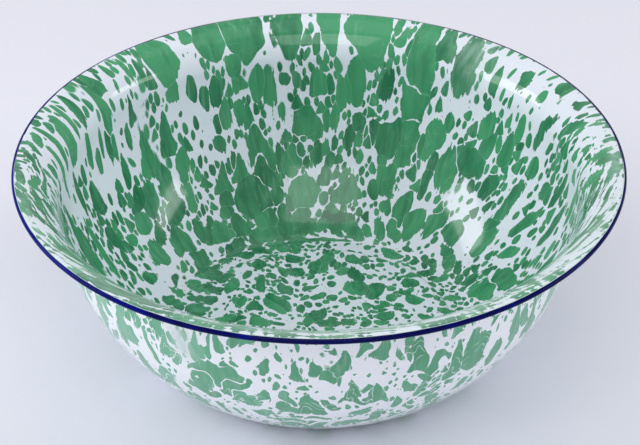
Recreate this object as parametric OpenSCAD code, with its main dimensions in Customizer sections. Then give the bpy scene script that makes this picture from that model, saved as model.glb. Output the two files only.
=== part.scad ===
/* [Rim] */
// Diameter over the rolled rim, enamel included
rim_d = 420; // [390:1:500]
// Diameter of the rolled bead, bare steel
bead_d = 3.2; // [2.8:0.1:6]
// How far the edge of the sheet is rolled round, in degrees
bead_turn = 285; // [240:1:290]
// Slope of the brim where it meets the bead, in degrees
brim_slope = 4; // [0:1:15]
// Radius of the brim's turn down into the wall
brim_r = 29; // [20:1:35]

/* [Bowl] */
// Height from the table to the top of the rim
bowl_h = 148; // [135:1:165]
// How far the wall bends between its corner and the brim, in degrees
wall_turn = 50; // [42:1:60]
// Radius of the corner where the wall meets the base
corner_r = 15; // [8:1:30]
// Diameter of the flat ring that the bowl stands on, at its outer edge
base_d = 216; // [206:1:236]
// Width of the flat ring that the bowl stands on
ring_w = 9; // [4:1:30]
// Height of the raised disc
disc_rise = 1.6; // [0.5:0.1:3]
// Radius of both bends in the step round the disc
step_r = 3; // [2:0.5:4]

/* [Sheet and enamel] */
// Thickness of the steel sheet
sheet_t = 0.7; // [0.5:0.1:0.9]
// Thickness of the dark ground coat, each side
ground_t = 0.15; // [0.1:0.01:0.2]
// Thickness of the cover coats and of the coat on the rim
cover_t = 0.25; // [0.15:0.01:0.3]
// Bare strip between the outer coats and the rolled bead
bead_gap = 0.5; // [0.4:0.1:1]

/* [Hidden] */
$fn = 160;

// Points on each arc of the section
step_n = 3;
corner_n = 6;
wall_n = 16;
brim_n = 14;
lip_n = 2;
bead_n = 24;

// Depth of all coats on one side of the steel
coat_t = ground_t + cover_t;
// Distances from the middle of the sheet to each skin
steel_out = sheet_t / 2;
ground_out = steel_out + ground_t;
cover_out = ground_out + cover_t;

// Middle of the sheet, under the ring that the bowl stands on
ring_z = cover_out;
// The rolled bead: middle radius of its sheet, whole radius and centre
bead_mid_r = (bead_d - sheet_t) / 2;
bead_out_r = bead_d / 2 + coat_t;
bead_c = [rim_d / 2 - bead_out_r, bowl_h - bead_out_r];

// A section is a list of [point, slope in degrees]. The normal points
// to the inner side of the bowl.
function normal(a) = [-sin(a), cos(a)];
// Arc with its centre on the outer side (curve = 1) or inner side (curve = -1)
function bend(centre, r, curve, a0, a1, n) =
    [for (i = [0:n]) let (a = a0 + (a1 - a0) * i / n)
        [centre + curve * r * normal(a), a]];

// Step round the raised disc: two equal bends, back to back
step_a = acos(1 - disc_rise / (2 * step_r));
step_run = step_r * sin(step_a);
ring_inner_r = base_d / 2 - ring_w;
disc_r = ring_inner_r - 2 * step_run;
disc_c = [disc_r, ring_z + disc_rise - step_r];
foot_c = [ring_inner_r, ring_z + step_r];

// Corner, wall and brim are three arcs that touch each other. The wall's
// radius is the one that bends by wall_turn on the way.
corner_c = [base_d / 2, ring_z + corner_r];
brim_edge = bead_c + bead_mid_r * normal(brim_slope);
brim_c = brim_edge - brim_r * normal(brim_slope);
to_brim = brim_c - corner_c;
bends_r = corner_r + brim_r;
wall_r = (corner_r - brim_r) / 2
    + sqrt(bends_r ^ 2 / 4 + (to_brim * to_brim - bends_r ^ 2) / (2 * (1 - cos(wall_turn))));
// The way from corner_c to brim_c, if the wall left the corner level
level = [(wall_r + brim_r) * sin(wall_turn),
    wall_r - corner_r - (wall_r + brim_r) * cos(wall_turn)];
foot_a = atan2(to_brim.y, to_brim.x) - atan2(level.y, level.x);
brim_a = foot_a + wall_turn;
wall_c = corner_c + (wall_r - corner_r) * normal(foot_a);

// Where the outer coats stop, clear of the rolled bead
outer_end_x = bead_c.x - bead_out_r - bead_gap;
outer_end_a = asin((brim_c.x - outer_end_x) / brim_r);

floor_path = concat([[[0, ring_z + disc_rise], 0]],
    bend(disc_c, step_r, 1, 0, -step_a, step_n),
    bend(foot_c, step_r, -1, -step_a, 0, step_n),
    bend(corner_c, corner_r, -1, 0, foot_a, corner_n),
    bend(wall_c, wall_r, -1, foot_a, brim_a, wall_n));
// The brim in two lengths, so that all its skins share the same points
short_brim_path = bend(brim_c, brim_r, 1, brim_a, outer_end_a, brim_n);
brim_path = concat(short_brim_path, bend(brim_c, brim_r, 1, outer_end_a, brim_slope, lip_n));
bead_path = bend(bead_c, bead_mid_r, 1, brim_slope, brim_slope - bead_turn, bead_n);

// Everything between two distances from the middle of the sheet
module shell(path, from, to) {
    low = [for (p = path) p[0] + from * normal(p[1])];
    high = [for (i = [len(path) - 1:-1:0]) path[i][0] + to * normal(path[i][1])];
    rotate_extrude() polygon(concat(low, high));
}

// One sheet of steel, deep drawn, its edge rolled outward and under
module steel_pressing() {
    color("dimgray") shell(concat(floor_path, brim_path, bead_path), -steel_out, steel_out);
}

// Dark ground coat that bonds the inner enamel, carried round the bead
module inner_ground_coat() {
    color("midnightblue") shell(concat(floor_path, brim_path, bead_path), steel_out, ground_out);
}

// Dark ground coat under the outer enamel
module outer_ground_coat() {
    color("midnightblue") shell(concat(floor_path, short_brim_path), -ground_out, -steel_out);
}

// White enamel with green marbling, inside
module inner_cover_coat() {
    color("mediumseagreen") shell(concat(floor_path, brim_path), ground_out, cover_out);
}

// White enamel with green marbling, outside and under the base
module outer_cover_coat() {
    color("darkseagreen") shell(concat(floor_path, short_brim_path), -cover_out, -ground_out);
}

// Blue enamel band round the rolled bead
module rim_coat() {
    color("navy") shell(bead_path, ground_out, cover_out);
}

steel_pressing();
inner_ground_coat();
outer_ground_coat();
inner_cover_coat();
outer_cover_coat();
rim_coat();
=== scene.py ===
# Enamelled steel basin, 420 mm over its rolled rim, standing on a pale table top.
# Lengths are in millimetres in the dictionaries and turn to metres through mm.
import math
from functools import partial

import bpy
import numpy as np
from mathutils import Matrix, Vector


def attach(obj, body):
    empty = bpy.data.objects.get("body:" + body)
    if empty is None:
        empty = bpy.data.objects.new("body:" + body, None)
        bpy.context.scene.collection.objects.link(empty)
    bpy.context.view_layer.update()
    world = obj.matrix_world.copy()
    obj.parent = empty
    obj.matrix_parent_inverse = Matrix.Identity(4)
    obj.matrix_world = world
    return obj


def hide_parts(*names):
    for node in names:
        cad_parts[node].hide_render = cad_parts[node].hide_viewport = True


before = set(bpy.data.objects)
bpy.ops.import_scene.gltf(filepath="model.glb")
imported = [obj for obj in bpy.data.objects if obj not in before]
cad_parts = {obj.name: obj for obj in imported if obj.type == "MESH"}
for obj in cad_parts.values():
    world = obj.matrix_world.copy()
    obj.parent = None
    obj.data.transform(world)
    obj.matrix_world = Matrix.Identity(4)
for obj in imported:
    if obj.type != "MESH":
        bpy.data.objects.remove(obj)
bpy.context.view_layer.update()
mm = 0.001
print("frame loaded")


# Colours are written as sRGB hex and turned to linear here
def linear(hexColour):
    parts = [int(hexColour[i:i + 2], 16) / 255 for i in (1, 3, 5)]
    return [p / 12.92 if p <= 0.04045 else ((p + 0.055) / 1.055) ** 2.4 for p in parts] + [1.0]


# Adds one node. An input is a number, a vector, a socket, or a node whose first output is meant.
# Inputs go by name or in order: a MapRange takes its value, from min, from max, to min and to max.
def addNode(tree, kind, inputs=(), operation=None, **settings):
    node = tree.nodes.new("ShaderNode" + kind)
    if operation:
        node.operation = operation
    for name, value in settings.items():
        setattr(node, name, value)
    pairs = inputs.items() if isinstance(inputs, dict) else enumerate(inputs)
    for key, value in pairs:
        if isinstance(value, bpy.types.Node):
            value = value.outputs[0]
        if isinstance(value, bpy.types.NodeSocket):
            tree.links.new(value, node.inputs[key])
        else:
            node.inputs[key].default_value = value
    return node


# A new material, and addNode for its tree
def newMaterial(name):
    material = bpy.data.materials.new(name)
    material.use_nodes = True
    material.node_tree.nodes.clear()
    return material, partial(addNode, material.node_tree)


# The section of the basin, as the solids have it: one sheet, bent, with its coats. The steps are the
# lengths at which each bend is cut for the mesh, and the tolerance is that of a coat's hidden back.
section = {
    "rimDiameter": 420, "height": 148, "beadDiameter": 3.2, "beadTurn": 285,
    "brimSlope": 4, "brimRadius": 29, "wallTurn": 50, "cornerRadius": 15,
    "baseDiameter": 216, "ringWidth": 9, "discRise": 1.6, "stepRadius": 3,
    "sheet": 0.7, "groundCoat": 0.15, "coverCoat": 0.25, "beadGap": 0.5,
    "floorStep": 3.0, "bendStep": 0.8, "cornerStep": 2.0, "wallStep": 2.2, "brimStep": 1.7, "beadStep": 0.25,
    "backTolerance": 0.12,
}
groundOut = section["sheet"] / 2 + section["groundCoat"]
coverOut = groundOut + section["coverCoat"]


def normalAt(slope):
    return np.array([-math.sin(slope), math.cos(slope)])


# An arc of the section as (point, slope) pairs; curve is 1 where its centre is on the outer side
def bend(centre, radius, curve, start, end, step):
    count = max(2, math.ceil(abs(end - start) * radius / step))
    slopes = np.linspace(start, end, count + 1)
    return [(centre + curve * radius * normalAt(a), a) for a in slopes]


def sectionPath():
    s = section
    ringZ = coverOut
    beadMid = (s["beadDiameter"] - s["sheet"]) / 2
    beadOut = s["beadDiameter"] / 2 + s["groundCoat"] + s["coverCoat"]
    beadCentre = np.array([s["rimDiameter"] / 2 - beadOut, s["height"] - beadOut])
    lip = math.radians(s["brimSlope"])
    turn = math.radians(s["wallTurn"])
    brimCentre = beadCentre + (beadMid - s["brimRadius"]) * normalAt(lip)
    cornerCentre = np.array([s["baseDiameter"] / 2, ringZ + s["cornerRadius"]])
    # corner, wall and brim are three arcs that touch; the wall bends by its turn on the way
    across = brimCentre - cornerCentre
    bends = s["cornerRadius"] + s["brimRadius"]
    wallRadius = (s["cornerRadius"] - s["brimRadius"]) / 2 + math.sqrt(
        bends ** 2 / 4 + (across @ across - bends ** 2) / (2 * (1 - math.cos(turn))))
    inner, outer = wallRadius - s["cornerRadius"], wallRadius + s["brimRadius"]
    low = math.atan2(across[1], across[0]) - math.atan2(
        inner - outer * math.cos(turn), outer * math.sin(turn))
    high = low + turn
    wallCentre = cornerCentre + inner * normalAt(low)
    stepSlope = math.acos(1 - s["discRise"] / (2 * s["stepRadius"]))
    ringInner = s["baseDiameter"] / 2 - s["ringWidth"]
    discRadius = ringInner - 2 * s["stepRadius"] * math.sin(stepSlope)
    discCentre = np.array([discRadius, ringZ + s["discRise"] - s["stepRadius"]])
    footCentre = np.array([ringInner, ringZ + s["stepRadius"]])
    floorLevel = ringZ + s["discRise"]
    path = [(np.array([r, floorLevel]), 0.0) for r in np.arange(0, discRadius - 1, s["floorStep"])]
    path += bend(discCentre, s["stepRadius"], 1, 0, -stepSlope, s["bendStep"])
    path += bend(footCentre, s["stepRadius"], -1, -stepSlope, 0, s["bendStep"])[1:]
    path += [(np.array([r, ringZ]), 0.0) for r in np.arange(ringInner, cornerCentre[0], s["floorStep"])[1:]]
    path += bend(cornerCentre, s["cornerRadius"], -1, 0, low, s["cornerStep"])
    path += bend(wallCentre, wallRadius, -1, low, high, s["wallStep"])[1:]
    outerEndX = beadCentre[0] - beadOut - s["beadGap"]
    outerEnd = math.asin((brimCentre[0] - outerEndX) / s["brimRadius"])
    brim = bend(brimCentre, s["brimRadius"], 1, high, lip, s["brimStep"])[1:]
    shortBrim = bend(brimCentre, s["brimRadius"], 1, high, outerEnd, s["brimStep"])[1:]
    bead = bend(beadCentre, beadMid, 1, lip, lip - math.radians(s["beadTurn"]), s["beadStep"])
    return path + brim, path + shortBrim, bead


innerPath, outerPath, beadPath = sectionPath()


def smooth(value, low, high):
    t = np.clip((value - low) / (high - low), 0, 1)
    return t * t * (3 - 2 * t)


# The points of a line that are needed to follow it within a tolerance
def thinned(points, tolerance):
    kept = [points[0]]
    start = 0
    for end in range(2, len(points)):
        chord = points[end] - points[start]
        offsets = np.array(points[start + 1:end]) - points[start]
        sag = np.abs(offsets[:, 0] * chord[1] - offsets[:, 1] * chord[0]) / np.hypot(*chord)
        if sag.max() > tolerance:
            start = end - 1
            kept.append(points[start])
    return kept + [points[-1]]


# Turns a coat of the section round the axis as a closed shell. The skin comes first, then its back.
def turnCoat(name, path, skin, back, segments):
    front = [p + skin * normalAt(a) for p, a in path]
    behind = thinned([p + back * normalAt(a) for p, a in path], section["backTolerance"])
    outline = np.array(front + behind[::-1]) * mm
    polar = outline[0][0] < 1e-9
    angles = np.arange(segments) * 2 * math.pi / segments
    rings = outline[1:-1] if polar else outline
    verts = np.stack([np.outer(rings[:, 0], np.cos(angles)), np.outer(rings[:, 0], np.sin(angles)),
                      np.repeat(rings[:, 1:2], segments, 1)], -1).reshape(-1, 3)
    count = len(rings)
    here = np.arange(segments)
    there = (here + 1) % segments
    faces = []
    for i in range(count - 1 if polar else count):
        low, high = i * segments, (i + 1) % count * segments
        faces += np.stack([low + here, low + there, high + there, high + here], 1).tolist()
    if polar:
        verts = np.vstack([verts, [[0, 0, outline[0][1]], [0, 0, outline[-1][1]]]])
        first, last = len(verts) - 2, len(verts) - 1
        faces += [[first, int(b), int(a)] for a, b in zip(here, there)]
        high = (count - 1) * segments
        faces += [[last, int(high + a), int(high + b)] for a, b in zip(here, there)]
    if skin > back:
        faces = [face[::-1] for face in faces]
    mesh = bpy.data.meshes.new(name)
    mesh.from_pydata(verts.tolist(), [], faces)
    mesh.update()
    mesh.shade_smooth()
    piece = bpy.data.objects.new(name, mesh)
    bpy.context.collection.objects.link(piece)
    return piece


# Soft spots of more or less of something: (angle in degrees, place from the rim in mm,
# half width in degrees, half length in mm, amount). Angle 90 is the far side, 0 is the right.
def spots(coat, table):
    total = np.zeros((len(coat["run"]), len(coat["theta"])))
    for angle, place, wide, long, amount in table:
        turn = (np.degrees(coat["theta"]) - angle + 180) % 360 - 180
        across = np.exp(-(turn / wide) ** 2)
        along = np.exp(-((coat["fromRim"] - place) / long) ** 2)
        total += amount * along[:, None] * across[None]
    return total


# How the green behaves in both coats. It runs where the coat slopes, in degrees, and over the nearly level
# brim, whose edge is counted in mm inward from the rim; on the floor the drops lie front to back.
flowing = {
    "runSlopes": (8, 30), "brimEdge": (-60, -50), "gather": 0.75, "squeeze": 0.35, "veinSize": 22,
    "crossings": 14, "pitches": (0.7, 1.5), "taper": 1.3, "foot": 1.5, "skirt": 1.5, "floorMargin": 4,
    "odds": 0.25, "floorLong": (1.1, 2.0), "floorWild": 32, "wallLong": (0.5, 1.1),
}


# A smooth random field of about one wavelength: waves that cross from all sides
def waves(place, length, chance):
    count = flowing["crossings"]
    total = np.zeros(place.shape[:-1])
    for _ in range(count):
        direction = chance.normal(size=3)
        pitch = length * chance.uniform(*flowing["pitches"]) * np.linalg.norm(direction)
        total += np.cos(place @ direction * (2 * math.pi / pitch) + chance.uniform(0, 2 * math.pi))
    return total / math.sqrt(count / 2)


# The coat laid out in rings and columns, in mm, with flow coordinates in which its drops are round
def layOut(path, skin, form):
    points = np.array([p + skin * normalAt(a) for p, a in path])
    slopes = np.degrees([a for p, a in path])
    steps = np.hypot(*np.diff(points, axis=0).T)
    run = np.concatenate([[0], np.cumsum(steps)])
    fromRim = run[-1] - run
    theta = np.arange(form["segments"]) * 2 * math.pi / form["segments"]
    stretch = np.interp(fromRim, form["ranAt"], form["ran"])
    onWall = np.maximum(smooth(slopes, *flowing["runSlopes"]), smooth(-fromRim, *flowing["brimEdge"]))
    spread = np.diff(points[:, 0]) * (1 - flowing["gather"] * onWall[1:])
    spread = np.concatenate([[0], np.cumsum(spread)])
    rise = np.concatenate([[0], np.cumsum(steps * onWall[1:] / stretch[1:])])
    squeeze = 1 - flowing["squeeze"] * (1 - onWall)
    flow = np.stack([np.outer(spread, np.cos(theta)), np.outer(spread * squeeze, np.sin(theta)),
                     np.repeat(rise[:, None], len(theta), 1)], -1)
    chance = np.random.default_rng(form["seed"])
    empty = np.full(flow.shape[:2], form["empty"])
    return {
        "radius": points[:, 0], "run": run, "fromRim": fromRim, "theta": theta, "stretch": stretch,
        "flow": flow, "chance": chance, "bentFrom": form["bentFrom"],
        "acrossWarp": sum(across * waves(flow, length, chance) for length, across, along in form["warps"]),
        "alongWarp": sum(along * waves(flow, length, chance) for length, across, along in form["warps"]),
        "veins": waves(flow, flowing["veinSize"], chance), "clumps": waves(flow, form["clumpSize"], chance),
        "channels": [empty.copy() for _ in range(4)], "best": empty.copy(), "tone": np.zeros_like(empty),
        "size": np.ones_like(empty),
    }


# Lets one drop of green into the white: an oval that ran down the wall, wider at its foot where pointed.
# Four channels hold the drops, so that neighbours stay apart and a vein of white can run between them.
def letDrop(coat, angle, fromRim, halfWidth, halfLength, tilt=0.0, pointed=0.0):
    run, radius, theta = coat["run"], coat["radius"], coat["theta"]
    centreRun = run[-1] - fromRim
    centreRadius = np.interp(centreRun, run, radius)
    around, lean = math.radians(angle), math.radians(tilt)
    far = 2 + 2 / halfWidth  # the coat is worked out to twice the drop's size and 2 mm more
    widest = halfWidth * math.exp(flowing["taper"] * abs(pointed))
    across = far * (abs(widest * math.cos(lean)) + abs(halfLength * math.sin(lean)))
    along = far * (abs(halfLength * math.cos(lean)) + abs(widest * math.sin(lean)))
    rows = np.arange(*np.searchsorted(run, [centreRun - along, centreRun + along]))
    turned = across / max(radius[rows[0]], 1.0)
    centreColumn = round(around / (2 * math.pi) * len(theta))
    if turned < 2.5:  # radians; nearer the axis the whole ring is worked out
        reach = math.ceil(turned / (2 * math.pi) * len(theta))
        columns = (centreColumn + np.arange(-reach, reach + 1)) % len(theta)
    else:
        columns = np.arange(len(theta))
    block = np.ix_(rows, columns)
    if centreRadius < section["baseDiameter"] / 2 + flowing["floorMargin"]:
        x = radius[rows, None] * np.cos(theta[columns]) - centreRadius * math.cos(around)
        y = radius[rows, None] * np.sin(theta[columns]) - centreRadius * math.sin(around)
        side = y * math.cos(around) - x * math.sin(around)
        up = x * math.cos(around) + y * math.sin(around)
    else:
        turn = (theta[columns] - around + math.pi) % (2 * math.pi) - math.pi
        side = turn[None] * radius[rows, None]
        up = np.repeat((run[rows] - centreRun)[:, None], len(columns), 1)
    centre = (np.searchsorted(run, centreRun) - 1, centreColumn % len(theta))
    bent = min(1.0, halfWidth / coat["bentFrom"])
    side = side + bent * (coat["acrossWarp"][block] - coat["acrossWarp"][centre])
    up = up + bent * (coat["alongWarp"][block] - coat["alongWarp"][centre])
    wide = side * math.cos(lean) + up * math.sin(lean)
    high = (up * math.cos(lean) - side * math.sin(lean)) / halfLength
    narrow = halfWidth * np.exp(-flowing["taper"] * pointed * np.clip(high, -1, 1))
    foot = np.where(high < 0, np.abs(high) ** (1 + flowing["foot"] * max(pointed, 0)), high)
    depth = (1 - np.hypot(wide / narrow, foot)) * halfWidth
    near = depth > -flowing["skirt"]
    crowd = [channel[block][near].max(initial=-math.inf) for channel in coat["channels"]]
    channel = coat["channels"][int(np.argmin(crowd))]
    channel[block] = np.maximum(channel[block], depth)
    better = depth > coat["best"][block]
    coat["tone"][block] = np.where(better, coat["chance"].random(), coat["tone"][block])
    coat["size"][block] = np.where(better, halfWidth, coat["size"][block])
    coat["best"][block] = np.maximum(coat["best"][block], depth)


# Drops on the floor, placed by (x, y, half size along x, half size along y); y points to the far side
def letFloorDrops(coat, table):
    for x, y, halfX, halfY in table:
        angle = math.degrees(math.atan2(y, x))
        fromRim = coat["run"][-1] - np.interp(math.hypot(x, y), coat["radius"], coat["run"])
        letDrop(coat, angle, fromRim, halfX, halfY, angle - 90)


# Fills the room that is left with ever smaller drops, closer together where there is plenty of green
def scatterDrops(coat, form):
    chance, odds = coat["chance"], flowing["odds"]
    farthest, nearest = form["apart"]
    plenty = form["plenty"] + form["clump"] * coat["clumps"] + spots(coat, form["spots"])
    plenty = np.clip(plenty, -odds, 1)
    share = np.cumsum(coat["radius"] * np.gradient(coat["run"]))
    lean = spots(coat, form["leans"])
    for small, large, tries in form["sizes"]:
        rows = np.searchsorted(share, chance.random(tries) * share[-1])
        columns = chance.integers(0, len(coat["theta"]), tries)
        for row, column in zip(rows, columns):
            fromRim = coat["fromRim"][row]
            amount = plenty[row, column]
            halfWidth = chance.uniform(small, large) * np.interp(fromRim, form["ranAt"], form["sizeAt"])
            room = halfWidth * (farthest + (nearest - farthest) * amount)
            if -coat["best"][row, column] < room or chance.random() > odds + amount:
                continue
            angle = math.degrees(coat["theta"][column])
            if fromRim > form["floorFrom"]:
                aspect = chance.uniform(*flowing["floorLong"])
                tilt = angle - 90 + chance.normal(0, flowing["floorWild"])
                pointed = 0.0
            else:
                aspect = 1 + (coat["stretch"][row] - 1) * chance.uniform(*flowing["wallLong"])
                pointed = form["pointed"] * chance.random() if halfWidth > form["roundUnder"] else 0.0
                tilt = lean[row, column] + chance.normal(0, form["wild"])
            letDrop(coat, angle, fromRim, halfWidth, halfWidth * aspect, tilt, pointed)


# Holds a value for each point of the skin. The rings come first in the mesh, and the two poles last.
def storeNumbers(piece, name, values, kind="FLOAT"):
    flat = values[1:].reshape(-1, *values.shape[2:])
    rest = len(piece.data.vertices) - len(flat)
    flat = np.concatenate([flat, np.zeros((rest, *values.shape[2:]))])
    flat[-2] = values[0].mean(0)
    attribute = piece.data.attributes.new(name, kind, "POINT")
    field = "vector" if kind == "FLOAT_VECTOR" else "value"
    attribute.data.foreach_set(field, flat.astype(np.float32).ravel())


def dressCoat(piece, coat, form):
    storeNumbers(piece, "flow", coat["flow"] * mm, "FLOAT_VECTOR")
    storeNumbers(piece, "drops", np.stack(coat["channels"][:3], -1), "FLOAT_VECTOR")
    storeNumbers(piece, "moreDrops", coat["channels"][3])
    storeNumbers(piece, "tone", coat["tone"])
    storeNumbers(piece, "dropSize", coat["size"])
    storeNumbers(piece, "vein", np.interp(coat["veins"], [-1, 1], form["vein"]) + spots(coat, form["open"]))
    for name in ("streaks", "haze", "sweeps"):
        storeNumbers(piece, name, np.clip(spots(coat, form[name]), 0, 1))
    creep = np.interp(np.degrees(coat["theta"]), *zip(*form["creep"]))
    storeNumbers(piece, "cobalt", creep[None] - coat["fromRim"][:, None])


# The skin fills the middle of the bake map; the back, which no one sees, lies small in a corner of it
bakeLayout = {"middle": 0.5, "reach": 0.49, "corner": 0.05, "cornerSize": 0.1}


def mapForBaking(piece, coat):
    bakeMap = piece.data.uv_layers.new(name="OFBake")
    co = np.empty(len(piece.data.vertices) * 3)
    piece.data.vertices.foreach_get("co", co)
    co = co.reshape(-1, 3) / mm
    theta = np.arctan2(co[:, 1], co[:, 0])
    farthest = coat["radius"][-1] + section["height"]
    place = np.interp(co[:, 2] + np.hypot(co[:, 0], co[:, 1]), [0, farthest], [0, bakeLayout["reach"]])
    corners = np.empty(len(piece.data.loops), dtype=np.int32)
    piece.data.loops.foreach_get("vertex_index", corners)
    hidden = np.arange(len(co)) >= (len(coat["run"]) - 1) * len(coat["theta"])
    hidden[-2] = False  # the skin's pole
    centre = np.where(hidden, bakeLayout["corner"], bakeLayout["middle"])
    place = np.where(hidden, place * bakeLayout["cornerSize"], place)
    uv = np.stack([centre + place * np.cos(theta), centre + place * np.sin(theta)], 1)[corners]
    bakeMap.data.foreach_set("uv", uv.astype(np.float32).ravel())


def placePiece(piece, node, material):
    piece.data.materials.append(material)
    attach(piece, "root")
    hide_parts(node)
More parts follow.
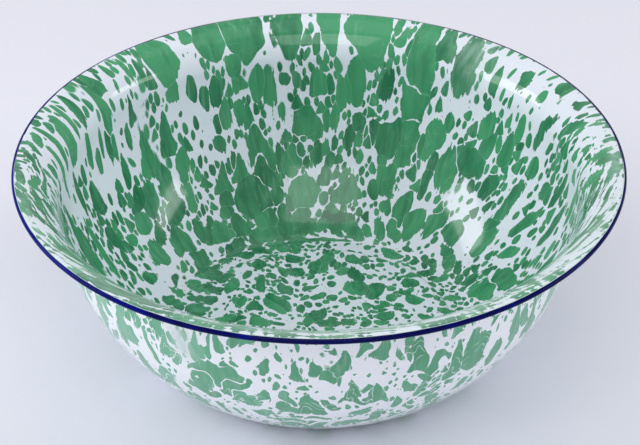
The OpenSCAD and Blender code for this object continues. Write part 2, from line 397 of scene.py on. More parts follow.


# How the green lies inside. The main masses are (angle, middle from the rim, half width, half length), with a
# tilt and how pointed it is where these aren't 0, placed from the photograph; smaller drops fill the
# rest by chance. Warps are (wave, shift across, shift along), sizes (smallest, largest, tries), and apart is
# the room kept, as a share of a drop's size. All from spots to sweeps are soft spots; creep is (angle, mm).
inside = {
    "seed": 7, "segments": 600, "empty": -14.0, "warps": ((55, 3.0, 5.0), (16, 1.2, 2.2), (7, 0.5, 0.9)),
    "ranAt": (0, 25, 60, 140, 172, 188), "ran": (3.6, 3.2, 2.5, 2.0, 1.5, 1.1),
    "sizeAt": (1.0, 1.0, 1.0, 1.0, 0.9, 0.85),
    "sizes": ((3.6, 5.5, 300), (2.6, 3.6, 1800), (1.6, 2.6, 14000)),
    "apart": (1.6, 0.4), "wild": 9, "pointed": 0.8, "plenty": 0.72, "vein": (-2.0, 0.5), "floorFrom": 178,
    "clump": 0.36, "clumpSize": 34, "roundUnder": 2.6, "bentFrom": 7,
    "masses": (
        (116, 16, 16, 26), (107.5, 15, 16, 30, 0, -0.2), (111, 40, 8, 14, 0, -0.4),
        (96.8, 20, 11, 26, 0, -0.3), (87.3, 16, 9.5, 26, -12, -0.3), (77.5, 20, 18, 28, 0, -0.2),
        (80.5, 60, 9, 20), (73, 58, 6, 15, 6), (65.5, 34, 12, 42), (65.5, 70, 11, 24), (66, 95, 8, 24),
        (54, 30, 10, 30, 6), (129, 20, 13, 26, 0, -0.2), (128, 48, 7, 10), (122.5, 52, 4.3, 12),
        (119.5, 60, 4.2, 11), (116, 57, 6.5, 13), (114.5, 76, 5.5, 11), (111, 53, 3.5, 10),
        (105.8, 60, 8.5, 14), (110.5, 78, 6, 9), (102.7, 62, 4.5, 19, -4), (98.6, 56, 4.2, 5),
        (107, 100, 7.5, 18, 0, 0.5), (99.6, 82, 3, 8), (95.5, 57, 3.5, 7), (94, 62, 2.5, 5),
        (90.5, 61, 6.5, 11, 0, 0.2), (87.2, 62, 3.6, 8), (84.5, 68, 4.8, 14, 0, 0.2),
        (92.8, 91, 7.5, 13, 0, 0.3), (88, 90, 3, 9), (85.7, 86, 4, 11, 0, 0.3), (82.5, 64, 4, 12),
        (79.3, 90, 7, 10), (82, 106, 5.5, 9), (85.8, 108, 3, 7), (71.5, 104, 12, 14), (75, 96, 6, 9),
        (70, 130, 9, 13, 8), (59, 88, 8, 14, 4), (58, 122, 6, 10, 4), (61.5, 100, 4, 8),
        (52, 112, 8, 16, 6), (117.5, 98, 4.5, 8), (117, 84, 4, 7), (122.8, 78, 2.5, 6),
        (118.5, 124, 5.5, 14, 0, 0.6), (111.5, 140, 14, 20, 0, 0.2), (105.5, 130, 8, 15, 0, 0.4),
        (97.5, 115, 4.5, 10, 0, 0.6), (98.5, 128, 6, 8), (90.5, 115, 5, 8, 0, 0.3), (87, 121, 4, 7),
        (94.8, 145, 14, 22, 0, 0.1), (88.3, 134, 5, 11, 0, 0.3), (80.3, 143, 9, 15, 0, 0.3),
        (73, 142, 5, 9), (108, 163, 9, 15, 0, 0.2), (102, 160, 6.5, 9), (96.5, 165, 11, 9),
        (83.5, 168, 8, 13, 0, 0.3), (110, 176, 12, 8), (72.5, 172, 4, 5), (103, 175, 12, 7),
        (94, 174, 13, 6), (84, 174, 14, 6), (77.5, 174, 8, 6), (99.5, 152, 5, 8), (88.6, 150, 4, 8),
        (118, 160, 6, 12, 0, 0.3), (114, 150, 8, 10), (62.5, 150, 6, 14, 18), (56, 158, 9, 14, 12),
        (67.5, 172, 6, 9, 8), (61.5, 172, 6, 8, 10), (131.8, 72, 6, 20, 4, 0.5), (129.3, 106, 8, 10),
        (139, 86, 6.5, 18, 4, 0.6), (137.5, 100, 5, 10), (141, 45, 3.2, 13, 0, 0.6),
        (149.5, 28, 4.5, 22, -4, 0.3), (138, 16, 2.5, 14), (135, 24, 3, 14), (158.5, 52, 3.6, 14),
        (150.5, 60, 3.8, 14), (148.5, 66, 2.4, 12), (153, 54, 2.2, 14), (155.5, 66, 3.5, 10),
        (143.3, 66, 3.4, 11, 0, -0.2), (147.5, 86, 3.8, 12, 6, 0.3), (161, 86, 6.5, 16, 6, 0.6),
        (163.5, 118, 9.5, 15), (156.5, 112, 3, 7), (158.5, 110, 3, 6), (147.5, 113, 9, 9),
        (143.5, 116, 8, 16, 6, 0.3), (136, 110, 7, 12, 0, 0.2), (150.5, 128, 6, 13, 6, 0.2),
        (157, 132, 5.5, 7), (163, 158, 6.5, 7), (152.5, 150, 7, 13, 10, 0.3), (142, 152, 8, 18, 6, 0.3),
        (146.5, 142, 6, 14, 6, 0.4), (137, 130, 8, 14, 0, 0.4), (131, 132, 6, 12, 0, 0.2),
        (121.5, 150, 5.5, 8), (126, 162, 7, 9), (133, 156, 6, 10), (178, 96, 8, 32, 0, 0.3),
        (171, 112, 4, 26, 0, 0.2), (165, 26, 4.5, 24, 10, 0.2), (157, 18, 3.4, 18, 8), (161, 19, 3, 19, 6),
        (170, 26, 3.4, 24, 8), (174, 40, 3, 24, 6), (168, 70, 3, 20, 6), (186, 70, 5, 26),
        (44, 66, 7, 14, 10), (47, 96, 10, 16, 8), (42.5, 82, 6, 14, 14), (34, 56, 4.5, 14, 22),
        (36, 80, 6, 14, 20), (38, 108, 8, 12, 16), (29, 106, 6, 26, 16), (37, 18, 8, 10, 15),
        (26, 42, 4, 20, 24), (26, 74, 5, 12, 20), (30.5, 22, 3.5, 6, 20), (17, 26, 3.5, 16, 24),
        (41.5, 150, 9, 10, 10), (31, 130, 5, 9, 30), (29.5, 148, 7, 12, 10), (19, 136, 5, 12, 25),
        (20, 110, 4.5, 22, 22), (14, 168, 8, 14, 60), (10, 148, 7, 18, 40), (57.5, 112, 5, 10, 4),
        (55, 76, 5, 10), (49.5, 150, 6, 13, 20), (8, 90, 4, 24, 16), (36.5, 172, 6.5, 6),
        (2, 60, 4, 22, 10), (12, 70, 4, 20, 16), (0, 120, 5, 24, 10), (173, 11, 3.2, 10, 45),
        (176, 10, 2.6, 9, 45), (182, 14, 3.6, 22, 57), (185, 22, 3, 28, 68), (184.3, 13, 1.8, 8, 55),
        (189.4, 13, 4.8, 19, 62), (196.4, 14, 4.4, 22, 66), (203.6, 12, 4.8, 24, 70),
        (213.6, 11.5, 5.4, 28, 74), (224, 12, 6.5, 28, 78), (216, 20, 4.5, 20, 74), (188, 4.5, 2.6, 12, 60),
        (194.5, 5, 3, 16, 66), (201, 5, 3, 16, 70), (208, 5.5, 3, 18, 72), (234, 12, 6, 24, 82),
        (206, 22, 4, 20, 66), (196, 26, 5, 20, 50), (342, 46, 8, 22), (2.5, 13, 4, 14, -34),
        (340, 26, 5, 34, -76), (332, 19, 5, 16, -75), (320, 22, 6, 20, -78), (352, 24, 3.5, 20, -66),
        (113, 122, 6, 10, 0, 0.4), (119.5, 138, 5, 12, 0, 0.3), (101, 116, 4.5, 9, 0, 0.3),
        (103, 145, 6, 10),
    ),
    "floorMasses": (
        (-102, 66, 4, 5), (-97, 55, 4, 4.5), (-108, 52, 3, 6), (-105, 41, 7, 4.5), (-111, 30, 5, 6),
        (-100, 28, 3, 2), (-92, 50, 3, 3), (-86, 45, 5, 4), (-77, 42, 6, 3), (-91, 34, 4.5, 4),
        (-90, 20, 7, 4.5), (-68, 23, 2, 4), (-88, 76, 7, 9), (-80, 68, 5, 6), (-83, 97, 6, 10),
        (-69, 93, 3, 5), (-55, 91, 9, 8), (-47, 99, 7, 8), (-60, 77, 3.5, 4.5), (-40, 96, 4.5, 4),
        (-39, 105, 4, 3), (-46, 77, 7, 8), (-39, 84, 6, 2), (-72, 60, 8, 5), (-64, 49, 5.5, 8),
        (-44, 57, 6, 8), (-36, 61, 4, 4), (-27, 67, 5, 6), (-17, 67, 6, 5), (-27, 97, 6, 4),
        (-18, 95, 5, 5), (-21, 84, 6, 6), (-13, 83, 3, 4), (-5, 66, 4, 5), (-1, 76, 4.5, 6),
        (-9, 45, 4.5, 4), (-1, 35, 4, 5), (-11, 34, 4, 4.5), (-17, 43, 2, 2), (-34, 40, 5, 2.5),
        (-24, 33, 3, 3), (-46, 44, 3, 1.6), (-57, 44, 3.5, 1.6), (-57, 29, 5, 7), (-52, 22, 7, 7),
        (-38, 27, 6, 5.5), (-26, 22, 6.5, 7), (-13, 20, 4, 5), (-1, 10, 7, 9), (-68, 9, 7, 5.5),
        (-60, 8, 8, 5.5), (-41, 3, 7, 7), (-35, 12, 2.5, 3), (-29, 0, 3.5, 2.5), (-13, 1, 3, 2),
        (-10, 11, 2.5, 4), (6, 84, 7, 7), (26, 83, 5.5, 6.5), (36, 73, 3.5, 3), (18, 66, 5, 5),
        (29, 61, 5.5, 6), (38, 60, 3, 3), (47, 82, 4, 3.5), (46, 75, 3, 2), (55, 94, 7, 5.5),
        (66, 78, 5, 2), (10, 50, 3.5, 3.5), (10, 34, 4.5, 4.5), (5, 28, 2.5, 3), (18, 30, 3, 3),
        (24, 34, 4, 3.5), (23, 46, 5, 6.5), (33, 46, 8, 7), (39, 37, 8, 9), (35, 24, 5.5, 5),
        (12, 22, 2.5, 2.5), (43, 21, 4, 3.5), (24, 3, 6.5, 6.5), (11, 1, 5.5, 5.5), (18, 5, 3, 3),
        (51, 10, 6, 7), (44, 3, 4.5, 4), (65, 9, 3, 3), (77, 11, 6, 4), (54, 45, 4.5, 4), (60, 58, 2.5, 4),
        (64, 67, 3, 3), (67, 52, 6, 9), (64, 40, 6.5, 7), (71, 31, 9, 9), (81, 36, 6, 4.5),
        (70, 62, 6, 3.5), (87, 33, 2, 5), (80, 66, 6, 4), (86, 60, 4.5, 4), (87, 70, 3, 4),
        (98, 35, 5.5, 5), (104, 63, 4.5, 6), (97, 80, 6, 8), (9, 97, 4, 2.5), (-30, 112, 9, 6),
        (-12, 112, 8, 5),
    ),
    "spots": (
        (100, 60, 40, 70, 0.2), (143, 24, 6, 20, -0.9), (92.5, 24, 2.6, 24, -1.2), (83.4, 26, 1.5, 26, -1),
        (122, 30, 2, 26, -0.9), (114, 108, 4, 22, -0.7), (101, 74, 2.6, 18, -0.8), (94, 80, 2, 10, -0.4),
        (73, 78, 3, 9, -0.5), (81, 118, 4, 8, -0.5), (36, 34, 9, 22, -0.7), (24, 60, 6, 20, -0.3),
        (158, 165, 14, 14, -0.8), (152, 90, 4, 22, -0.6), (45, 168, 9, 10, -0.7), (124, 92, 4, 22, -0.6),
        (80, 165, 8, 8, 0.4), (270, 290, 400, 100, 0.2), (4, 50, 9, 18, -0.6), (176, 45, 8, 16, -0.3),
        (92, 158, 26, 22, 0.7), (100, 128, 22, 24, 0.5), (130, 70, 14, 30, -0.1), (10, 12, 5, 16, -1.4),
        (158, 72, 13, 38, -0.75), (125, 100, 4, 30, -0.4), (140, 50, 6, 26, -0.5), (112, 130, 14, 26, 0.4),
        (46, 126, 7, 9, -1.3), (28, 134, 13, 26, -0.55), (22, 80, 8, 26, -0.3), (90, 116, 10, 22, 0.3),
        (342, 7, 16, 8, -1.4), (325, 8, 12, 8, -1.2),
    ),
    "leans": ((30, 90, 26, 90, 18), (165, 60, 16, 40, 10)),
    "open": ((100, 240, 400, 60, -0.9), (92, 172, 24, 10, -0.8), (192, 12, 24, 18, 1.9)),
    "streaks": (
        (206, 14, 26, 20, 0.55), (225, 10, 14, 12, 0.3), (342, 22, 31, 28, 0.95), (270, 8, 60, 14, 0.7),
    ),
    "haze": (
        (228, 16, 16, 16, 0.25), (318, 12, 26, 12, 0.25), (270, 12, 32, 12, 0.8), (52, 16, 5, 22, 0.5),
        (350, 5, 24, 5, 0.5), (205, 4, 24, 4, 0.4),
    ),
    "sweeps": ((270, 10, 70, 26, 1.4), (200, 12, 22, 22, 1.0), (342, 16, 22, 28, 1.0)),
    "creep": (
        (0, 0.4), (20, 0.5), (60, 0.45), (70, 0), (72.7, 1.2), (76, -0.3), (108, -0.2), (118, 0.4),
        (126, 0.35), (136, 0.1), (150, 0.25), (165, 0.5), (182, 0.3), (200, -0.6), (240, -1), (320, -1),
        (345, -0.4), (360, 0.4),
    ),
}
outside = {
    "seed": 11, "segments": 600, "empty": -14.0, "warps": ((50, 3.0, 4.0), (15, 2.2, 4.2), (6, 0.8, 1.2)),
    "ranAt": (0, 25, 60, 140, 172, 188), "ran": (2.6, 2.2, 1.9, 1.6, 1.3, 1.1),
    "sizeAt": (0.8, 1.0, 1.0, 1.0, 0.9, 0.85),
    "sizes": ((4.0, 6.0, 220), (2.6, 4.0, 900), (1.7, 2.6, 3200), (1.1, 1.7, 6000)),
    "apart": (2.2, 0.45), "wild": 16, "pointed": 1.0, "plenty": 0.42, "vein": (-1.4, 1.2), "floorFrom": 165,
    "clump": 0.3, "clumpSize": 40, "roundUnder": 2.0, "bentFrom": 4,
    "masses": (
        (248, 70, 11, 17, 0, 0.75), (244.5, 78, 9, 9, 0, 0.2), (252, 80, 5, 13, -40, 0.3),
        (259.3, 53, 4, 11, 0, 0.5), (249, 41, 2.6, 10, 20, 0.3), (247, 52, 2.6, 9, -10, 0.5),
        (235.2, 40, 7, 10, 0, -0.2), (244, 54, 4.5, 14, 6, 0.3), (236.5, 62, 6, 8, 20, 0.4),
        (239, 69, 5, 7, -20, 0.3), (231.5, 66, 2.4, 22, 8, 0.2), (233, 92, 7, 8, 0, 0.6),
        (242, 96, 7, 9, -12, 0.6), (244.5, 104, 7, 7, -20, 0.3), (233.5, 108, 7, 9, 0, 0.4),
        (253, 95, 6, 12, -14, 0.7), (256.4, 98, 3.6, 6, -30, 0.2), (258.3, 90, 4.4, 11, -16, 0.6),
        (262, 87, 3.6, 5, 20, 0.2), (267.3, 91, 8.5, 15, 0, 0.8), (264.6, 106, 5, 8, 0, 0.3),
        (262, 47, 2.6, 4, -20, 0.3), (269.2, 55, 2.6, 8, 0, 0.4), (271.5, 63, 8, 3.6, 10),
        (275.3, 50, 5.4, 13, 0, 0.85), (272.8, 62, 2.6, 9, 40), (274.2, 66, 2, 7),
        (282.2, 44, 4.4, 8, 0, 0.8), (288, 36, 2.8, 6, 16, 0.3), (286.2, 50, 1.8, 6, 26),
        (288.4, 51, 1.8, 4, 26), (283.3, 64, 2.2, 3, 20), (291, 55, 5.2, 15, 0, 0.8),
        (294, 70, 6, 8, 0, -0.1), (293, 78, 5, 7, 0, 0.2), (276.6, 84, 5.6, 13, 0, 0.8),
        (272.5, 98, 3.6, 11, 55), (282.4, 82, 4.6, 10, 0, 0.7), (280.5, 92, 6, 5, 30),
        (288, 104, 3.6, 12, 4, 0.5), (289, 84, 3.2, 10, 30, 0.3), (293, 91, 5, 13, 0, 0.6),
        (294.4, 101, 6, 6), (299.5, 66, 4.6, 19, 6, 0.6), (305, 64, 6.5, 28, 6, 0.4),
        (311, 84, 7, 11, 8, 0.2), (316, 60, 4, 20, 10, 0.3), (224, 56, 5, 22, -8, 0.4),
        (216, 66, 6, 26, -8, 0.3), (208, 60, 5, 26, -6, 0.3), (226, 90, 6, 14, 0, 0.5),
        (322, 70, 5, 26, 8, 0.3), (330, 60, 6, 26, 6, 0.3), (270, 118, 9, 5), (256, 120, 9, 5, 0, 0.3),
        (284, 120, 8, 5, 10, 0.2), (246, 124, 8, 6, 0, 0.2), (276, 136, 10, 4), (262, 138, 8, 4),
    ),
    "floorMasses": (),
    "spots": (
        (262, 42, 8, 14, -0.5), (279, 46, 4, 16, -0.5), (270, 74, 5, 8, -0.4), (312, 44, 5, 20, -0.2),
        (296, 52, 3, 14, -0.4), (270, 130, 60, 16, 0.4), (60, 80, 100, 60, 0.15), (228, 40, 14, 20, 0.3),
        (305, 44, 12, 20, 0.3),
    ),
    "leans": ((230, 60, 30, 60, -8), (310, 60, 30, 60, 10)),
    "open": ((100, 240, 400, 60, -0.6),),
    "streaks": ((205, 30, 22, 60, 0.5), (338, 30, 20, 60, 0.5), (303, 36, 7, 16, 0.5), (243, 38, 5, 14, 0.5)),
    "haze": ((215, 50, 20, 60, 0.3), (330, 60, 14, 60, 0.2), (241.5, 50, 3, 16, 0.9)),
    "sweeps": ((270, 150, 400, 10, 0.3),),
    "creep": ((0, -9), (360, -9)),
}

# Vitreous enamel: coloured glass fused on steel at about 800 C. It gives the eye a hard wet gloss,
# crisp edges between colours, a faint orange-peel wave and a depth that paint doesn't have.
enamel = {
    "white": "#E0E8F3", "green": "#459B6D", "deepGreen": "#23714D", "paleGreen": "#8CC4A6", "milk": "#C4DAD4",
    "cobalt": "#0A0A50", "ior": 1.52, "roughness": 0.09, "peelSize": 7.0, "peelDepth": 0.03,
    "rippleSize": 2.6, "rippleDepth": 0.012, "bumpStrength": 0.5,
}
# The outside's palette is a lit copy of the inside's: its colours are painted paler and brighter, which is
# painted light standing in for the sheen on the glossy outer wall.
outsideEnamel = dict(enamel, white="#F6FAFF", green="#64B18C", deepGreen="#4F9E76", paleGreen="#D5EADF")

# Sizes and depths of the marbling in mm. Combs, drawn and silks squeeze the height that a pattern is read
# at, which draws it out down the wall. A satellite is (cell, smallest, largest, seed). A key ending in At
# holds the two values of its noise between which it comes in.
insideGlaze = {
    "roughSize": 3.4, "roughDepth": 3.0, "fraySize": 1.4, "frayDepth": 7.0, "frayedSize": 16.0, "combs": 0.22,
    "finest": 0.12, "roughAbove": 6.5, "frayedAt": (0.44, 0.62), "seamRough": 0.35, "seamRound": 0.5,
    "satellites": ((8.0, -0.20, 0.24, 3.1), (5.0, -0.16, 0.28, 7.7), (3.2, -0.36, 0.30, 5.3)),
    "crowded": (-2.2, -0.4, 0, 1.6), "bendSize": 20.0, "bendDepth": 9.0, "bendRise": 3.0, "drift": 0.1,
    "drawn": 0.24, "streakSize": 2.4, "streakDepth": 18.0, "streakOver": 0.7,
    "sweepSize": 3.2, "sweepAlong": 0.14, "sweepAcross": 3.2,
    "bleedSize": 24.0, "bleedAt": (0.6, 0.75), "crisp": 0.16, "bleed": 1.2,
    "swirlSize": 14.0, "swirlTurns": 26.0, "threadPitch": 9.0, "threadDepth": 0.22, "threadFrom": 0.93,
    "threadSlant": 1.2, "threadedAt": (0.54, 0.62), "seamWidth": 0.8, "seamDepth": 0.25,
    "silkySize": 17.0, "silkenAt": (0.56, 0.40), "silkSize": 2.4, "silkAt": (0.52, 0.75), "silks": 0.1,
    "silkDepth": 0.32, "shadeSize": 5.0, "shadeAt": (0.35, 0.65), "shadeDepth": 0.18, "moodSize": 30.0,
    "milkSize": 5.0, "milkAt": (0.35, 0.62), "milkLeast": 0.25,
    "creepSize": 9.0, "creepAt": (0.3, 0.7), "creepDepth": 0.3, "creepEdge": 0.12,
}
outsideGlaze = dict(
    insideGlaze, threadDepth=1.0, threadFrom=0.86, threadPitch=5.0, threadSlant=-0.9, roughDepth=3.4)


def marbledEnamel(name, form, palette):
    material, add = newMaterial(name)
    flow = add("Attribute", attribute_name="flow").outputs["Vector"]
    held = {key: add("Attribute", attribute_name=key).outputs["Fac"]
            for key in ("moreDrops", "dropSize", "tone", "vein", "streaks", "haze", "sweeps", "cobalt")}
    body = add("TexCoord").outputs["Object"]

    # the two deepest drops at this point: a vein of white runs where they are equally deep
    drops = add("Attribute", attribute_name="drops").outputs["Vector"]
    drops = add("SeparateXYZ", [drops]).outputs
    highA = add("Math", [drops["X"], drops["Y"]], "MAXIMUM")
    lowA = add("Math", [drops["X"], drops["Y"]], "MINIMUM")
    highB = add("Math", [drops["Z"], held["moreDrops"]], "MAXIMUM")
    lowB = add("Math", [drops["Z"], held["moreDrops"]], "MINIMUM")
    first = add("Math", [highA, highB], "MAXIMUM")
    second = add("Math", [highA, highB], "MINIMUM")
    lows = add("Math", [lowA, lowB], "MAXIMUM")
    second = add("Math", [second, lows], "MAXIMUM")

    # outlines wander, and here and there they fray into fingers down the wall
    wander = add("TexNoise", {"Vector": flow, "Scale": 1 / (form["roughSize"] * mm), "Detail": 4.0,
                              "Roughness": 0.6})
    wander = add("Math", [wander, -0.5], "ADD")
    wander = add("Math", [wander, form["roughDepth"]], "MULTIPLY")
    comb = add("VectorMath", [flow, (1, 1, form["combs"])], "MULTIPLY")
    fray = add("TexNoise", {"Vector": comb, "Scale": 1 / (form["fraySize"] * mm), "Detail": 2.0})
    fray = add("Math", [fray, -0.5], "ADD")
    frayed = add("TexNoise", {"Vector": flow, "Scale": 1 / (form["frayedSize"] * mm), "Detail": 1.0})
    frayed = add("MapRange", [frayed, *form["frayedAt"], 0, form["frayDepth"]])
    fray = add("Math", [fray, frayed], "MULTIPLY")
    edge = add("Math", [wander, fray], "ADD")
    calm = add("MapRange", [held["dropSize"], 1, form["roughAbove"], form["finest"]])
    edge = add("Math", [edge, calm], "MULTIPLY")
    inDrop = add("Math", [first, edge], "ADD")
    between = add("Math", [first, second], "SUBTRACT")
    apart = add("Math", [between, held["vein"]], "SUBTRACT")
    apart = add("Math", [edge, form["seamRough"], apart], "MULTIPLY_ADD")
    depth = add("Math", [inDrop, apart, form["seamRound"]], "SMOOTH_MIN")

    # satellites, the little round drops that larger ones shed, float where these leave room
    crowded = add("MapRange", [first, *form["crowded"]])
    for cell, small, large, seed in form["satellites"]:
        place = add("VectorMath", [flow, (seed, seed * 0.6, seed * 0.3)], "ADD")
        near = add("TexVoronoi", {"Vector": place, "Scale": 1 / (cell * mm)}, feature="F1")
        chance = add("SeparateColor", [near.outputs["Color"]])
        size = add("MapRange", [chance, 0, 1, small, large])
        little = add("Math", [size, near.outputs["Distance"]], "SUBTRACT")
        little = add("Math", [little, cell], "MULTIPLY")
        little = add("Math", [little, crowded], "SUBTRACT")
        depth = add("Math", [depth, little], "MAXIMUM")

    # on the brim both colours were drawn into fine streaks, and along the near side these sweep round the rim
    bent = add("TexNoise", {"Vector": flow, "Scale": 1 / (form["bendSize"] * mm), "Detail": 1.5})
    bent = add("VectorMath", [bent.outputs["Color"], (-0.5, -0.5, -0.5)], "ADD")
    bentBy = [form["bendDepth"] * mm, form["bendDepth"] * mm, form["bendRise"] * mm]
    bent = add("VectorMath", [bent, bentBy, flow], "MULTIPLY_ADD")
    drawn = add("VectorMath", [bent, (1, 1, form["drawn"])], "MULTIPLY")
    streak = add("TexNoise", {"Vector": drawn, "Scale": 1 / (form["streakSize"] * mm), "Detail": 2.0})
    across = form["sweepAcross"]
    level = add("VectorMath", [bent, (0, -across * form["drift"], across)], "DOT_PRODUCT")
    level = add("VectorMath", {"Vector": (0, 0, 1), "Scale": level.outputs["Value"]}, "SCALE")
    swept = add("VectorMath", [bent, (form["sweepAlong"], form["sweepAlong"], 0), level], "MULTIPLY_ADD")
    sweep = add("TexNoise", {"Vector": swept, "Scale": 1 / (form["sweepSize"] * mm), "Detail": 3.0,
                             "Roughness": 0.55, "Distortion": 0.2})
    streak = add("Mix", {0: held["sweeps"], 2: streak, 3: sweep})
    streak = add("Math", [streak, -0.49], "ADD")
    streak = add("Math", [streak, form["streakDepth"]], "MULTIPLY")
    streak = add("Math", [depth, -form["streakOver"], streak], "MULTIPLY_ADD")
    depth = add("Math", [streak, held["streaks"], depth], "MULTIPLY_ADD")

    # most edges are crisp, and a few bleed
    bleed = add("TexNoise", {"Vector": flow, "Scale": 1 / (form["bleedSize"] * mm), "Detail": 1.0})
    bleed = add("MapRange", [bleed, *form["bleedAt"], form["crisp"], form["bleed"]])
    green = add("Math", [depth, bleed], "DIVIDE")
    green = add("Math", [green, 0.5], "ADD", use_clamp=True)

    # threads of pale glaze follow the drop's outline
    turning = 2 * math.pi / form["threadPitch"]  # radians for each mm
    swirl = add("TexNoise", {"Vector": flow, "Scale": 1 / (form["swirlSize"] * mm), "Detail": 3.0,
                             "Distortion": 0.8})
    turns = add("Math", [swirl, form["swirlTurns"]], "MULTIPLY")
    turns = add("Math", [first, turning, turns], "MULTIPLY_ADD")
    high = add("SeparateXYZ", [flow]).outputs["Z"]
    turns = add("Math", [high, form["threadSlant"] * turning / mm, turns], "MULTIPLY_ADD")
    threads = add("Math", [turns], "SINE")
    threads = add("MapRange", [threads, form["threadFrom"]])
    silky = add("TexNoise", {"Vector": flow, "Scale": 1 / (form["silkySize"] * mm), "Detail": 2.0})
    threaded = add("MapRange", [silky, *form["threadedAt"], 0, form["threadDepth"]])
    threads = add("Math", [threads, threaded], "MULTIPLY")
    seam = add("MapRange", [between, 0, form["seamWidth"], form["seamDepth"], 0])
    threads = add("Math", [threads, seam], "MAXIMUM")
    silk = add("VectorMath", [flow, (1, 1, form["silks"])], "MULTIPLY")
    silk = add("TexNoise", {"Vector": silk, "Scale": 1 / (form["silkSize"] * mm), "Detail": 2.0,
                            "Distortion": 0.3})
    silk = add("MapRange", [silk, *form["silkAt"], 0, form["silkDepth"]])
    silken = add("MapRange", [silky, *form["silkenAt"]])
    silk = add("Math", [silk, silken], "MULTIPLY")
    threads = add("Math", [threads, silk], "MAXIMUM")

    # the green is deeper in some drops than in others, and shaded along the wall
    shade = add("TexNoise", {"Vector": comb, "Scale": 1 / (form["shadeSize"] * mm), "Detail": 3.0,
                             "Distortion": 0.5})
    shade = add("MapRange", [shade, *form["shadeAt"], -form["shadeDepth"], form["shadeDepth"]])
    mood = add("TexNoise", {"Vector": flow, "Scale": 1 / (form["moodSize"] * mm), "Detail": 3.0})
    mood = add("Math", [held["tone"], 0.5, mood], "MULTIPLY_ADD")
    mood = add("Math", [mood, shade], "ADD")
    mood = add("MapRange", [mood, 0.4])
    greens = add("MixRGB", [mood, linear(palette["deepGreen"]), linear(palette["green"])])
    greens = add("MixRGB", [threads, greens, linear(palette["paleGreen"])])
    colour = add("MixRGB", [green, linear(palette["white"]), greens])

    # a thin milky glaze lies over the brim in places
    milk = add("Mix", {0: held["sweeps"], 4: drawn, 5: swept}, data_type="VECTOR").outputs[1]
    milk = add("TexNoise", {"Vector": milk, "Scale": 1 / (form["milkSize"] * mm), "Detail": 4.0,
                            "Distortion": 1.0})
    milk = add("MapRange", [milk, *form["milkAt"], form["milkLeast"]])
    milk = add("Math", [milk, held["haze"]], "MULTIPLY")
    colour = add("MixRGB", [milk, colour, linear(palette["milk"])])

    # the rim's cobalt creeps over the edge of the brim
    creep = add("TexNoise", {"Vector": body, "Scale": 1 / (form["creepSize"] * mm), "Detail": 3.0})
    creep = add("MapRange", [creep, *form["creepAt"], -form["creepDepth"], form["creepDepth"]])
    creep = add("Math", [creep, held["cobalt"]], "ADD")
    creep = add("MapRange", [creep, -form["creepEdge"], form["creepEdge"]])
    colour = add("MixRGB", [creep, colour, linear(palette["cobalt"])])

    peel = add("TexNoise", {"Vector": body, "Scale": 1 / (palette["peelSize"] * mm), "Detail": 2.0})
    bump = add("Bump", {"Height": peel, "Strength": palette["bumpStrength"],
                        "Distance": palette["peelDepth"] * mm})
    ripple = add("TexNoise", {"Vector": comb, "Scale": 1 / (palette["rippleSize"] * mm), "Detail": 1.0})
    bump = add("Bump", {"Height": ripple, "Strength": palette["bumpStrength"],
                        "Distance": palette["rippleDepth"] * mm, "Normal": bump})
    shader = add("BsdfPrincipled", {
        "Base Color": colour, "Roughness": palette["roughness"], "IOR": palette["ior"], "Normal": bump})
    add("OutputMaterial", {"Surface": shader})
    return material


def enamelCoat(name, path, skin, back, form, glaze, palette, node):
    coat = layOut(path, skin, form)
    for mass in form["masses"]:
        letDrop(coat, *mass)
    letFloorDrops(coat, form["floorMasses"])
    scatterDrops(coat, form)
    piece = turnCoat(name, path, skin, back, form["segments"])
    dressCoat(piece, coat, form)
    mapForBaking(piece, coat)
    material = marbledEnamel("vitreous enamel, green marbled on white, " + name, glaze, palette)
    placePiece(piece, node, material)


enamelCoat("inner_enamel", innerPath, coverOut, groundOut, inside, insideGlaze, enamel,
           "inner_cover_coat")
print("inner enamel turned and marbled")
enamelCoat("outer_enamel", outerPath, -coverOut, -groundOut, outside, outsideGlaze, outsideEnamel,
           "outer_cover_coat")
print("outer enamel turned and marbled")


# Cobalt enamel brushed on the rolled rim: nearly black where it pools, brighter where it is thin, and painted
# brighter toward the left as painted light from that side.
# The brush left the inner shoulder of the bead bare, less so at the sides, and the pale enamel shows there.
# Leftward, sides and behind are where a change round the rim begins and ends, in mm from the middle.
rim = {
    "segments": 360, "blue": "#03094A", "thinAndLitBlue": "#020E74", "ior": 1.52, "roughness": 0.08, "gloss": 0.07,
    "brushSize": 14.0, "shoulder": 1.8, "sideReach": 0.5, "paintedLitLeft": 0.3, "bareDepth": 0.9,
    "unevenness": 0.7, "edgeWidth": 0.2, "bluesAt": (0.5, 0.8),
    "leftward": (0, -200), "sides": (60, 110), "behind": (-40, 20),
}


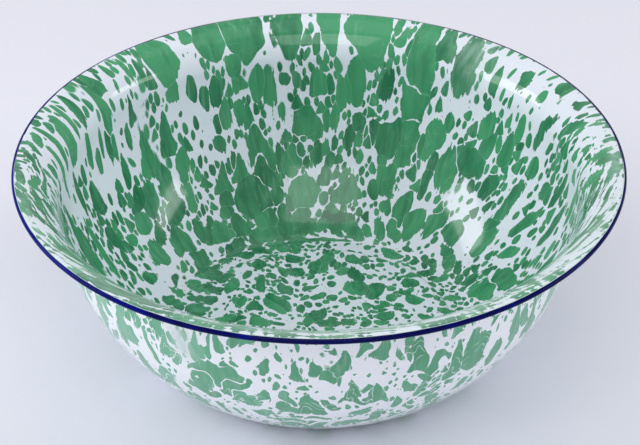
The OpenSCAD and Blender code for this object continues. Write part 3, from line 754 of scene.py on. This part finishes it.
def cobaltRim():
    material, add = newMaterial("cobalt blue vitreous enamel, brushed on the rim")
    body = add("TexCoord").outputs["Object"]
    thin = add("TexNoise", {"Vector": body, "Scale": 1 / (rim["brushSize"] * mm), "Detail": 3.0})
    place = add("SeparateXYZ", [body]).outputs
    leftward, sides, behind = (np.array(rim[key]) * mm for key in ("leftward", "sides", "behind"))
    # the blue is painted brighter toward the left: painted light from the lamps on that side
    left = add("MapRange", [place["X"], *leftward, 0, rim["paintedLitLeft"]])
    blues = add("Math", [thin, left], "ADD")
    blues = add("MapRange", [blues, *rim["bluesAt"]])
    blues = add("MixRGB", [blues, linear(rim["blue"]), linear(rim["thinAndLitBlue"])])
    flat = add("VectorMath", [body, (1, 1, 0)], "MULTIPLY")
    radius = add("VectorMath", [flat], "LENGTH").outputs["Value"]
    # at both sides and behind them the blue reaches further over the bead
    aside = add("Math", [place["X"]], "ABSOLUTE")
    aside = add("MapRange", [aside, *sides, 0, rim["sideReach"] * mm])
    behind = add("MapRange", [place["Y"], *behind])
    radius = add("Math", [aside, behind, radius], "MULTIPLY_ADD")
    bare = add("Math", [thin, -rim["unevenness"] * mm, radius], "MULTIPLY_ADD")
    edge = (section["rimDiameter"] / 2 - rim["shoulder"] - rim["unevenness"] / 2) * mm
    painted = add("MapRange", [bare, edge, edge + rim["edgeWidth"] * mm])
    below = (section["height"] - rim["bareDepth"]) * mm
    under = add("MapRange", [place["Z"], below, below - rim["edgeWidth"] * mm])
    painted = add("Math", [painted, under], "MAXIMUM")
    colour = add("MixRGB", [painted, linear(enamel["milk"]), blues])
    shader = add("BsdfPrincipled", {
        "Base Color": colour, "Roughness": rim["roughness"], "IOR": rim["ior"],
        "Specular IOR Level": rim["gloss"]})
    add("OutputMaterial", {"Surface": shader})
    return material


rimBand = turnCoat("rim_band", beadPath, coverOut, groundOut, rim["segments"])
placePiece(rimBand, "rim_coat", cobaltRim())
print("rim band turned")


# Ground coat and sheet stay as the solids have them. They lie under the enamel, and hardly show even in
# the slit under the bead: the coat gives a dark, dull, pitted glass there, the sheet a grey satin metal.
ground = {"dark": "#10131F", "pale": "#262B3D", "pitSize": 1.5, "roughness": 0.35, "ior": 1.5}
sheet = {"dark": "#6E7074", "pale": "#8B8E93", "grainSize": 0.8, "smoothest": 0.35, "roughest": 0.55}


def groundEnamel():
    material, add = newMaterial("vitreous ground coat, dark and pitted")
    body = add("TexCoord").outputs["Object"]
    pits = add("TexNoise", {"Vector": body, "Scale": 1 / (ground["pitSize"] * mm), "Detail": 3.0})
    colour = add("MixRGB", [pits, linear(ground["dark"]), linear(ground["pale"])])
    shader = add("BsdfPrincipled", {
        "Base Color": colour, "Roughness": ground["roughness"], "IOR": ground["ior"]})
    add("OutputMaterial", {"Surface": shader})
    return material


def deepDrawnSteel():
    material, add = newMaterial("low-carbon steel sheet, deep drawn and pickled")
    body = add("TexCoord").outputs["Object"]
    grain = add("TexNoise", {"Vector": body, "Scale": 1 / (sheet["grainSize"] * mm), "Detail": 4.0})
    colour = add("MixRGB", [grain, linear(sheet["dark"]), linear(sheet["pale"])])
    rough = add("MapRange", [grain, 0, 1, sheet["smoothest"], sheet["roughest"]])
    shader = add("BsdfPrincipled", {"Base Color": colour, "Metallic": 1.0, "Roughness": rough})
    add("OutputMaterial", {"Surface": shader})
    return material


def finishNode(name, material):
    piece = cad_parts[name]
    piece.data.materials.clear()
    piece.data.materials.append(material)


groundMaterial = groundEnamel()
finishNode("inner_ground_coat", groundMaterial)
finishNode("outer_ground_coat", groundMaterial)
finishNode("steel_pressing", deepDrawnSteel())
print("ground coats and sheet finished")


# A pale table top, matt paper on a board, in metres. It is clear from below, so that the base can be seen.
table = {
    "size": 12.0, "colour": "#E9E8F4", "cloudColour": "#DFE2ED", "farShadeColour": "#E4E5F0",
    "cloudsPerMetre": 1.5, "farFrom": 0.05, "farTo": 0.55, "roughness": 0.7,
}


def paleTable():
    mesh = bpy.data.meshes.new("table_top")
    half = table["size"] / 2
    corners = [(-half, -half, 0), (half, -half, 0), (half, half, 0), (-half, half, 0)]
    mesh.from_pydata(corners, [], [(0, 1, 2, 3)])
    piece = bpy.data.objects.new("table_top", mesh)
    bpy.context.collection.objects.link(piece)
    material, add = newMaterial("matt pale paper")
    body = add("TexCoord").outputs["Object"]
    cloud = add("TexNoise", {"Vector": body, "Scale": table["cloudsPerMetre"], "Detail": 2.0})
    colour = add("MixRGB", [cloud, linear(table["colour"]), linear(table["cloudColour"])])
    # the paper is painted darker toward the far side: painted shade standing in for the light falling off
    # there
    away = add("SeparateXYZ", [body]).outputs["Y"]
    away = add("MapRange", [away, table["farFrom"], table["farTo"]])
    colour = add("MixRGB", [away, colour, linear(table["farShadeColour"])])
    paper = add("BsdfPrincipled", {"Base Color": colour, "Roughness": table["roughness"]})
    clear = add("BsdfTransparent")
    below = add("NewGeometry").outputs["Backfacing"]
    shader = add("MixShader", [below, paper, clear])
    add("OutputMaterial", {"Surface": shader})
    mesh.materials.append(material)


paleTable()

# Softboxes: (azimuth from the far side, elevation, distance, width, height, radiance, shows in the glaze)
lamps = {
    "front_box": (183, 54, 2.0, 1.15, 1.15, 1.85, True),
    "right_box": (90, 22, 2.0, 0.8, 0.34, 4.0, True),
    "left_box": (-86, 24, 2.0, 1.1, 0.7, 3.6, True),
    "right_fill": (84, 33, 2.0, 1.8, 1.5, 1.4, False),
    "left_fill": (-104, 28, 2.0, 2.0, 1.7, 1.45, False),
    "top_box": (0, 80, 2.2, 2.2, 1.6, 0.45, True),
}
studio = {"aimHeight": 0.08, "fill": "#FFFFFF", "fillStrength": 0.45, "backdrop": "#E2E5EF"}


def softBox(name, azimuth, elevation, distance, width, height, radiance, shows):
    lamp = bpy.data.lights.new(name, "AREA")
    lamp.shape = "RECTANGLE"
    lamp.size, lamp.size_y = width, height
    lamp.energy = radiance * math.pi * width * height
    piece = bpy.data.objects.new(name, lamp)
    a, e = math.radians(azimuth), math.radians(elevation)
    away = Vector((math.sin(a) * math.cos(e), math.cos(a) * math.cos(e), math.sin(e)))
    piece.location = away * distance + Vector((0, 0, studio["aimHeight"]))
    piece.rotation_mode = "QUATERNION"
    piece.rotation_quaternion = away.to_track_quat("Z", "Y")
    piece.visible_camera = False
    piece.visible_glossy = shows
    bpy.context.collection.objects.link(piece)


# The world lights the basin a little, and shows as a pale backdrop where the table doesn't cover it
def paleStudio():
    world = bpy.data.worlds.new("studio")
    world.use_nodes = True
    world.node_tree.nodes.clear()
    add = partial(addNode, world.node_tree)
    rays = add("LightPath").outputs
    seen = add("Math", [rays["Is Camera Ray"], rays["Is Transmission Ray"]], "MAXIMUM")
    fill = add("Background", {"Color": linear(studio["fill"]), "Strength": studio["fillStrength"]})
    backdrop = add("Background", {"Color": linear(studio["backdrop"]), "Strength": 1.0})
    mix = add("MixShader", [seen, fill, backdrop])
    add("OutputWorld", {"Surface": mix})
    bpy.context.scene.world = world


for name, values in lamps.items():
    softBox(name, *values)
paleStudio()
bpy.context.scene.view_settings.view_transform = "Standard"
print("table, lamps and world set")

# The photograph's view: a long lens, looking down at about 34 degrees
view = {
    "pixels": (640, 445), "focalPixels": 2000, "distance": 1376.0, "elevation": 32.02, "pitch": 33.87,
    "axisColumn": 318.87, "rimHeight": 146.0, "sensor": 36.0,
}


def photographCamera():
    camera = bpy.data.cameras.new("camera")
    camera.sensor_width = view["sensor"]
    camera.lens = view["focalPixels"] / view["pixels"][0] * view["sensor"]
    camera.clip_start, camera.clip_end = 0.05, 50
    piece = bpy.data.objects.new("camera", camera)
    up = math.radians(view["elevation"])
    piece.location = (0, -view["distance"] * mm * math.cos(up),
                      view["distance"] * mm * math.sin(up) + view["rimHeight"] * mm)
    turn = math.atan((view["pixels"][0] / 2 - view["axisColumn"]) / view["focalPixels"])
    piece.rotation_euler = (math.radians(90 - view["pitch"]), 0, -turn)
    bpy.context.collection.objects.link(piece)
    bpy.context.scene.camera = piece


photographCamera()
